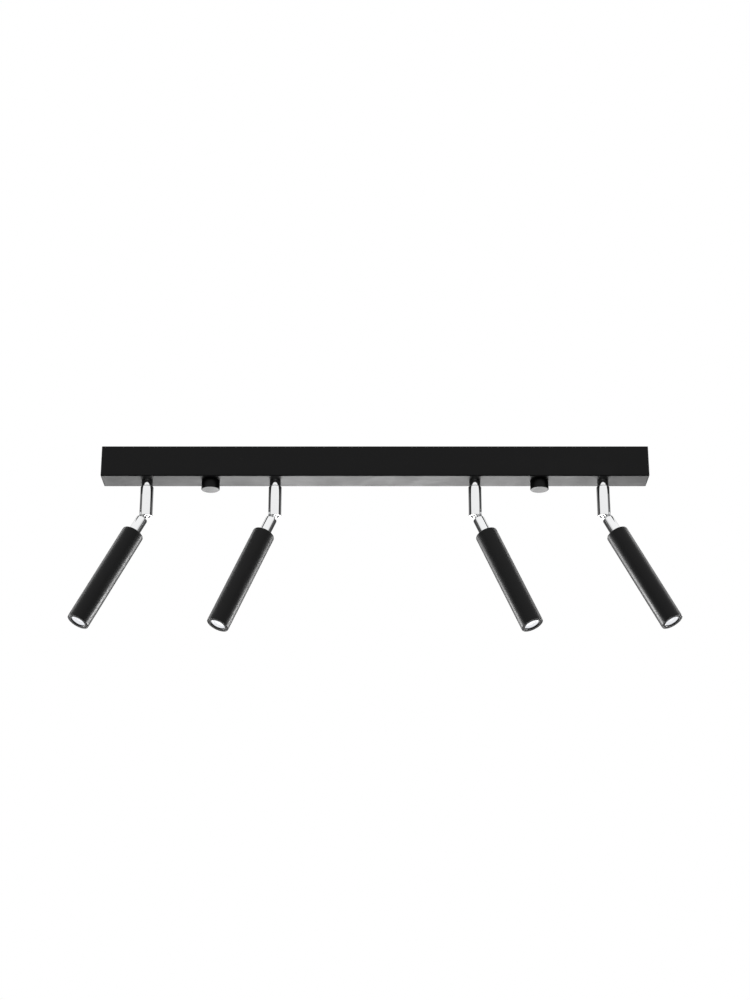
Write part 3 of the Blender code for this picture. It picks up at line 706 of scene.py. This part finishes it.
def make_bar():
    """The folded tray: open at the ceiling, rounded at every bend, with holes for necks and studs."""
    bm = bmesh.new()
    bmesh.ops.create_cube(bm, size=1.0)
    size = BAR_HIGH - BAR_LOW
    bmesh.ops.scale(bm, vec=[v * MM for v in size], verts=bm.verts)
    bmesh.ops.translate(bm, vec=[v * MM for v in (BAR_HIGH + BAR_LOW) / 2], verts=bm.verts)
    top = [face for face in bm.faces if face.normal.z > 0.5]
    bmesh.ops.delete(bm, geom=top, context="FACES")
    bends = [e for e in bm.edges if not e.is_boundary]
    bmesh.ops.bevel(bm, geom=bends, offset=BAR_BEND_RADIUS * MM, segments=BEND_STEPS, profile=0.5,
                    affect="EDGES")
    sheet = bpy.data.meshes.new("bar")
    bm.to_mesh(sheet)
    bm.free()
    item = bpy.data.objects.new("bar_sheet", sheet)
    bpy.context.scene.collection.objects.link(item)
    thicken = item.modifiers.new("wall", "SOLIDIFY")
    thicken.thickness = BAR_WALL * MM
    thicken.offset = -1.0
    thicken.use_even_offset = True
    folded = bpy.data.meshes.new_from_object(item.evaluated_get(bpy.context.evaluated_depsgraph_get()))
    bpy.data.objects.remove(item, do_unlink=True)
    depth = BAR_WALL * CUT_DEPTH
    cutters = []
    for x in STATION_X.values():
        cutters.append((cylinder_mesh("neck_hole", THREAD_RADIUS + GAP, depth), shift(x, 0.0, UNDERSIDE)))
    for x in STUD_X.values():
        cutters.append((cylinder_mesh("stud_hole", STUD_RADIUS + GAP, depth), shift(x, 0.0, UNDERSIDE)))
    mesh = carve(folded, cutters)
    mesh.name = "bar"
    finish_piece("bar", mesh, "bar_paint", "fixture", ["canopy_shell"],
                 Matrix.Identity(4))


def slot_mesh(length, width, depth):
    """A tool for a slot with round ends, along X."""
    bm = bmesh.new()
    half = (length - width) / 2
    outline = []
    for side, middle in ((1, half), (-1, -half)):
        for step in range(SMALL_SIDES // 2 + 1):
            angle = math.radians(-90.0 * side) + math.pi * step / (SMALL_SIDES // 2)
            outline.append(bm.verts.new(((middle + width / 2 * math.cos(angle)) * MM,
                                         width / 2 * math.sin(angle) * MM, -depth / 2 * MM)))
    face = bm.faces.new(outline)
    raised = bmesh.ops.extrude_face_region(bm, geom=[face])["geom"]
    bmesh.ops.translate(bm, vec=(0.0, 0.0, depth * MM),
                        verts=[v for v in raised if isinstance(v, bmesh.types.BMVert)])
    bmesh.ops.recalc_face_normals(bm, faces=bm.faces)
    mesh = bpy.data.meshes.new("slot")
    bm.to_mesh(mesh)
    bm.free()
    return mesh


def make_strip():
    """The channel that is screwed to the ceiling, folded from sheet with real bends."""
    half = STRIP_HIGH.y
    depth = -STRIP_LOW.z
    outer = [(-half, -depth), (-half, -STRIP_BEND_RADIUS)]
    inner = [(-half + STRIP_WALL, -depth), (-half + STRIP_WALL, -STRIP_BEND_RADIUS)]
    for step in range(1, BEND_STEPS + 1):
        angle = math.radians(180.0 - 90.0 * step / BEND_STEPS)
        for path, radius in ((outer, STRIP_BEND_RADIUS), (inner, STRIP_BEND_RADIUS - STRIP_WALL)):
            path.append((-half + STRIP_BEND_RADIUS + radius * math.cos(angle),
                         -STRIP_BEND_RADIUS + radius * math.sin(angle)))
    section = outer + [(-y, z) for y, z in outer[::-1]] + [(-y, z) for y, z in inner] + inner[::-1]
    bm = bmesh.new()
    ends = []
    for x in (STRIP_LOW.x, STRIP_HIGH.x):
        ends.append([bm.verts.new((x * MM, y * MM, z * MM)) for y, z in section])
    count = len(section)
    for index in range(count):
        after = (index + 1) % count
        bm.faces.new((ends[0][index], ends[1][index], ends[1][after], ends[0][after]))
    half_count = count // 2
    for ring in ends:
        for index in range(half_count - 1):
            opposite = count - 1 - index
            bm.faces.new((ring[index], ring[index + 1], ring[opposite - 1], ring[opposite]))
    bmesh.ops.recalc_face_normals(bm, faces=bm.faces)
    mesh = bpy.data.meshes.new("strip")
    bm.to_mesh(mesh)
    bm.free()
    through = STRIP_WALL * CUT_DEPTH
    cutters = [(cylinder_mesh("supply_hole", SUPPLY_HOLE_RADIUS, through), shift(SUPPLY_HOLE_X))]
    for x in STUD_X.values():
        cutters.append((cylinder_mesh("stud_clearance", STUD_RADIUS + GAP, through), shift(x)))
    for x in (-SCREW_SLOT_X, SCREW_SLOT_X):
        cutters.append((slot_mesh(SCREW_SLOT_LENGTH, SCREW_SLOT_WIDTH, through), shift(x)))
    earth = cylinder_mesh("earth_hole", EARTH_SCREW_RADIUS + GAP, through)
    cutters.append((earth, through_y(EARTH_X, -half, -depth / 2 - STRIP_WALL / 2)))
    finish_piece("ceiling_strip", carve(mesh, cutters), "zinc_steel", "fixture",
                 ["ceiling_bracket"], Matrix.Identity(4))


def make_stud(side):
    low, high = millimetres("stud_" + side)
    tip = STUD_RADIUS - STUD_CHAMFER
    points = [(0.0, high.z, SHARP), (tip, high.z, SHARP)]
    points += threads(STUD_RADIUS, high.z - STUD_CHAMFER, low.z + STUD_CHAMFER, STUD_PITCH,
                      STUD_THREAD_DEPTH)
    points += [(tip, low.z, SHARP), (0.0, low.z, SHARP)]
    mesh = turned_mesh("stud_" + side, eased(points), SMALL_SIDES // 2, closed=False)
    finish_piece("threaded_stud_" + side, mesh, "zinc_steel", "fixture", ["stud_" + side],
                 shift(STUD_X[side]))


def make_cap_nut(side):
    """The round nut under the bar, with a turned face and softened edges."""
    low, high = millimetres("cap_nut_" + side)
    radius = (high.x - low.x) / 2
    well = STUD_RADIUS + GAP
    points = [
        (0.0, UNDERSIDE - CAP_NUT_WELL, SHARP),
        (well, UNDERSIDE - CAP_NUT_WELL, SHARP),
        (well, high.z, SOFT),
        (radius, high.z, NUT_TOP_ROUND),
        (radius, low.z, NUT_ROUND),
        (0.0, low.z, SHARP),
    ]
    mesh = turned_mesh("cap_nut_" + side, eased(points), ROUND_SIDES, closed=False)
    finish_piece("round_nut_" + side, mesh, "nut_paint", "fixture", ["cap_nut_" + side],
                 shift(STUD_X[side]))


# Swivels and heads


def spot_axes(tag):
    """Where the swivel stands, how it is turned, and how its head hangs, as three matrices."""
    tilt = JOINTS["tilt_" + tag]
    across = Vector(tilt["axis"])
    heading = math.atan2(across.x, -across.y)
    angle = math.radians(tilt["range_deg"][0])
    station = shift(STATION_X[tag], 0.0, UNDERSIDE)
    swivel = station @ Matrix.Rotation(heading, 4, "Z")
    head = swivel @ shift(z=-PIVOT_DROP) @ Matrix.Rotation(angle, 4, "Y")
    return station, swivel, head


def make_neck(tag, station):
    spigot_end = -(NECK_LENGTH + SLEEVE_ROOF + RETAINER_HEIGHT + GAP * 2)
    shoulder = -(NECK_LENGTH - GAP)
    points = [(NECK_BORE_RADIUS, THREAD_RISE, BROKEN), (THREAD_RADIUS - NECK_LEAD_IN, THREAD_RISE, SOFT)]
    points += threads(THREAD_RADIUS, THREAD_RISE - SOFT, GAP, THREAD_PITCH, THREAD_DEPTH)
    points += [
        (THREAD_RADIUS - THREAD_DEPTH, -GAP, SHARP),
        (NECK_RADIUS, -GAP, FINE),
        (NECK_RADIUS, shoulder, BROKEN),
        (SPIGOT_RADIUS, shoulder, CRISP),
        (SPIGOT_RADIUS, spigot_end, SOFT),
        (NECK_BORE_RADIUS, spigot_end, BROKEN),
    ]
    mesh = turned_mesh("neck_" + tag, eased(points), ROUND_SIDES)
    root = (NECK_BORE_RADIUS + SPIGOT_RADIUS) / 2
    outward = math.copysign(1.0, STATION_X[tag])
    height = STOP_DEPTH * STOP_ROOT
    lug = box_mesh("stop_lug", (STOP_RADIUS - root, STOP_WIDTH, height),
                   (outward * (STOP_RADIUS + root) / 2, 0.0, shoulder - STOP_DEPTH + height / 2))
    mesh = carve(mesh, [], [(lug, Matrix.Identity(4))])
    finish_piece("swivel_neck_" + tag, mesh, "polished_chrome", "fixture",
                 ["neck_" + tag], station)


def notch_mesh():
    """The tool for the sleeve's side notch: straight sides and a round top."""
    half = BALL_NECK_RADIUS + GAP
    bottom = -SLEEVE_END - SLEEVE_RADIUS
    outline = [(-half, bottom), (half, bottom)]
    for step in range(SMALL_SIDES // 2 + 1):
        angle = math.pi * step / (SMALL_SIDES // 2)
        outline.append((half * math.cos(angle), -PIVOT_DROP + half * math.sin(angle)))
    bm = bmesh.new()
    face = bm.faces.new([bm.verts.new((SLEEVE_RADIUS / 2 * MM, y * MM, z * MM)) for y, z in outline])
    raised = bmesh.ops.extrude_face_region(bm, geom=[face])["geom"]
    bmesh.ops.translate(bm, vec=(SLEEVE_RADIUS * MM, 0.0, 0.0),
                        verts=[v for v in raised if isinstance(v, bmesh.types.BMVert)])
    bmesh.ops.recalc_face_normals(bm, faces=bm.faces)
    mesh = bpy.data.meshes.new("notch")
    bm.to_mesh(mesh)
    bm.free()
    return mesh


def make_sleeve(tag, swivel):
    top = -NECK_LENGTH
    roof_under = top - SLEEVE_ROOF
    hole = SPIGOT_RADIUS + GAP
    lip = -math.degrees(math.asin(LIP_DROP / BORE_RADIUS))
    points = [
        (hole, top, SOFT),
        (SLEEVE_RADIUS, top, SLEEVE_ROUND),
        (SLEEVE_RADIUS, -SLEEVE_END, SLEEVE_ROUND),
        (MOUTH_RADIUS, -SLEEVE_END, SOFT),
    ]
    points += arc(-PIVOT_DROP, BORE_RADIUS, lip, 0.0, SEAT_STEPS)
    points += [(BORE_RADIUS, roof_under, SHARP), (hole, roof_under, SOFT)]
    mesh = turned_mesh("sleeve_" + tag, eased(points), ROUND_SIDES)
    pocket = carve(
        cylinder_mesh("pocket", STOP_RADIUS + GAP, POCKET_DEPTH * 2, SMALL_SIDES, (0.0, 0.0, top)),
        [(box_mesh("block", (STOP_RADIUS * 2, STOP_WIDTH, POCKET_DEPTH * 4),
                   (-hole - STOP_RADIUS + GAP, 0.0, top)), Matrix.Identity(4))])
    mesh = carve(mesh, [(notch_mesh(), Matrix.Identity(4)), (pocket, Matrix.Identity(4))])
    finish_piece("swivel_sleeve_" + tag, mesh, "polished_chrome", "swivel_" + tag,
                 ["sleeve_" + tag], swivel)


def make_stem(tag, head):
    top_angle = math.degrees(math.acos(WIRE_RADIUS / BALL_RADIUS))
    foot_angle = -math.degrees(math.acos(BALL_NECK_RADIUS / BALL_RADIUS))
    end = -HEAD_START + GAP
    thread_end = -HEAD_START - STEM_THREAD_LENGTH
    points = arc(0.0, BALL_RADIUS, top_angle, foot_angle, BALL_STEPS)
    points += [
        (BALL_NECK_RADIUS, -STEM_START, STEM_NECK_ROUND),
        (STEM_RADIUS, -STEM_START, STEM_ROUND),
        (STEM_RADIUS, end, SOFT),
        (STEM_THREAD_RADIUS - THREAD_DEPTH, end, SHARP),
    ]
    points += threads(STEM_THREAD_RADIUS, end, thread_end + STEM_THREAD_RUNOUT, THREAD_PITCH, THREAD_DEPTH)
    points += [(STEM_THREAD_RADIUS - THREAD_DEPTH, thread_end, SOFT), (WIRE_RADIUS, thread_end, SOFT)]
    mesh = turned_mesh("stem_" + tag, eased(points), ROUND_SIDES)
    finish_piece("head_stem_" + tag, mesh, "polished_chrome", "head_" + tag,
                 ["ball_stem_" + tag], head)


def make_head_tube(tag, head):
    hole = STEM_THREAD_RADIUS + GAP
    inner = HEAD_RADIUS - HEAD_WALL
    points = [
        (hole, -HEAD_START, SOFT),
        (HEAD_RADIUS, -HEAD_START, HEAD_ROUND),
        (HEAD_RADIUS, -HEAD_END, BROKEN),
        (inner, -HEAD_END, FINE),
        (inner, -HEAD_START - HEAD_ROOF, BROKEN),
        (hole, -HEAD_START - HEAD_ROOF, SHARP),
    ]
    mesh = turned_mesh("tube_" + tag, eased(points), ROUND_SIDES)
    finish_piece("lamp_tube_" + tag, mesh, "head_paint", "head_" + tag,
                 ["head_tube_" + tag], head)


def make_front_ring(tag, head):
    rear = -(HEAD_END - RING_THICKNESS)
    points = [
        (RING_OPENING_RADIUS, rear, CRISP),
        (FIT_RADIUS, rear, CRISP),
        (FIT_RADIUS, -HEAD_END, SOFT),
        (RING_OPENING_RADIUS, -HEAD_END, RING_ROUND),
    ]
    mesh = turned_mesh("ring_" + tag, eased(points), ROUND_SIDES)
    finish_piece("lamp_ring_" + tag, mesh, "head_paint", "head_" + tag,
                 ["front_ring_" + tag], head)


def make_lens(tag, head):
    """The optic behind the ring: a shallow dished face on a tapered body."""
    front = -(HEAD_END - RING_THICKNESS - GAP)
    rear = front + LENS_DEPTH
    points = [
        (0.0, rear, SHARP),
        (LENS_BACK_RADIUS, rear, BROKEN),
        (FIT_RADIUS, front + LENS_FACE, SOFT),
        (FIT_RADIUS, front, SOFT),
        (RING_OPENING_RADIUS, front, BROKEN),
        (RING_OPENING_RADIUS * DISH_SHARE, front + DISH_DEPTH, DISH_ROUND),
        (0.0, front + DISH_DEPTH * DISH_CENTRE, SHARP),
    ]
    mesh = turned_mesh("lens_" + tag, eased(points), ROUND_SIDES, closed=False)
    finish_piece("lamp_lens_" + tag, mesh, "lens", "head_" + tag, ["lens_" + tag], head)


make_bar()
make_strip()
for side_name in ("left", "right"):
    make_stud(side_name)
    make_cap_nut(side_name)
for spot in TAGS:
    station_at, swivel_at, head_at = spot_axes(spot)
    make_neck(spot, station_at)
    make_sleeve(spot, swivel_at)
    make_stem(spot, head_at)
    make_head_tube(spot, head_at)
    make_front_ring(spot, head_at)
    make_lens(spot, head_at)

# The pieces inside keep their CAD shape and take a finish

KEPT = {
    "stud_nut": "zinc_steel",
    "lock_nut": "zinc_steel",
    "led_driver": "white_nylon",
    "terminal_block": "grey_plastic",
    "earth_screw": "brass",
    "retaining_ring": "brass",
    "ball_seat": "white_nylon",
    "heat_sink": "aluminium",
    "led_board": "board_white",
    "led_chip": "lamp_yellow",
}

for node_name, node in frame["nodes"].items():
    for start, finish_name in KEPT.items():
        if node_name.startswith(start):
            node.material_slots[0].material = FINISHES[finish_name]


# Studio


def make_floor():
    """A wide pale floor far below, with a painted pool of light glowing on it behind the object."""
    mesh = bpy.data.meshes.new("floor")
    square = ((-1, -1), (1, -1), (1, 1), (-1, 1))
    corners = [(x * FLOOR_HALF, y * FLOOR_HALF, FLOOR_HEIGHT) for x, y in square]
    mesh.from_pydata(corners, [], [(0, 1, 2, 3)])
    floor = bpy.data.objects.new("floor", mesh)
    bpy.context.scene.collection.objects.link(floor)
    material, tree, shader, where = start_material("studio_floor", Roughness=0.9)
    shader.inputs["Base Color"].default_value = FLOOR_GREY
    parts = place(tree, "ShaderNodeSeparateXYZ", {0: where})
    far = spread(tree, parts.outputs[1], FLOOR_FRONT, FLOOR_POOL, *POOL_BACK)
    aside = math_of(tree, "ABSOLUTE", parts.outputs[0])
    pool = math_of(tree, "MULTIPLY", far, spread(tree, aside, 1.0, FLOOR_SIDES, *POOL_SIDE))
    seen = place(tree, "ShaderNodeLightPath").outputs["Is Camera Ray"]
    level = place(tree, "ShaderNodeMix", {0: seen, 2: pool, 3: FLOOR_SEEN}).outputs[0]
    # Painted pool of light: the floor glows brighter behind the object and dimmer to the front and sides,
    # and evenly to the camera.
    glow = place(tree, "ShaderNodeEmission", {"Strength": level})
    surface = place(tree, "ShaderNodeAddShader", {0: shader.outputs[0], 1: glow.outputs[0]})
    tree.links.new(surface.outputs[0], tree.nodes["Material Output"].inputs["Surface"])
    mesh.materials.append(material)


def make_world():
    """White to the camera. All other rays see a dim wall behind, dark side flags and a dimmer low part."""
    world = bpy.data.worlds.new("studio")
    world.use_nodes = True
    tree = world.node_tree
    direction = place(tree, "ShaderNodeTexCoord").outputs["Generated"]
    sideways, back, up = place(tree, "ShaderNodeSeparateXYZ", {0: direction}).outputs
    wall = spread(tree, back, 1.0, BACK_SHARE, *WALL_EDGE)
    aside = math_of(tree, "MULTIPLY", math_of(tree, "ABSOLUTE", sideways), math.cos(FLAG_TURN))
    towards_flag = math_of(tree, "MULTIPLY_ADD", back, math.sin(FLAG_TURN), aside)
    flag = spread(tree, towards_flag, 0.0, 1.0, *FLAG_EDGE)
    below_top = spread(tree, up, 1.0, 0.0, *FLAG_TOP)
    darkened = math_of(tree, "MULTIPLY", flag, below_top)
    flagged = math_of(tree, "MULTIPLY_ADD", darkened, FLAG_SHARE - 1.0, 1.0)
    height = spread(tree, up, LOW_LIGHT, HIGH_LIGHT, *LOW_EDGE)
    level = math_of(tree, "MULTIPLY", math_of(tree, "MULTIPLY", wall, flagged), height)
    seen = place(tree, "ShaderNodeLightPath").outputs["Is Camera Ray"]
    strength = place(tree, "ShaderNodeMix", {0: seen, 2: level, 3: 1.0}).outputs[0]
    tree.links.new(strength, tree.nodes["Background"].inputs["Strength"])
    tree.nodes["Background"].inputs["Color"].default_value = WHITE
    bpy.context.scene.world = world


def make_softbox(name, location, size, watts, glossy, lit=None):
    """A round soft light. When lit is a collection, only its pieces catch the light."""
    data = bpy.data.lights.new(name, "AREA")
    data.shape = "DISK"
    data.size = size
    data.energy = watts
    lamp = bpy.data.objects.new(name, data)
    lamp.location = location
    lamp.rotation_euler = (Vector(AIM) - Vector(location)).to_track_quat("-Z", "Y").to_euler()
    lamp.visible_camera = False
    lamp.visible_glossy = glossy
    bpy.context.scene.collection.objects.link(lamp)
    if lit:
        lamp.light_linking.receiver_collection = lit


heads = bpy.data.collections.new("heads")
for spot in TAGS:
    for part in ("lamp_tube_", "lamp_ring_"):
        heads.objects.link(bpy.data.objects[part + spot])

make_floor()
make_world()
make_softbox("key_softbox", KEY_PLACE, KEY_SIZE, KEY_WATTS, glossy=False)
for side_name, sign in (("left", -1.0), ("right", 1.0)):
    low_place = (sign * LOW_RIM_PLACE[0], *LOW_RIM_PLACE[1:])
    high_place = (sign * HIGH_RIM_PLACE[0], *HIGH_RIM_PLACE[1:])
    make_softbox("low_rim_softbox_" + side_name, low_place, LOW_RIM_SIZE, LOW_RIM_WATTS, True, heads)
    make_softbox("high_rim_softbox_" + side_name, high_place, HIGH_RIM_SIZE, HIGH_RIM_WATTS, True, heads)
bpy.context.scene.view_settings.view_transform = "Standard"

bpy.context.view_layer.update()
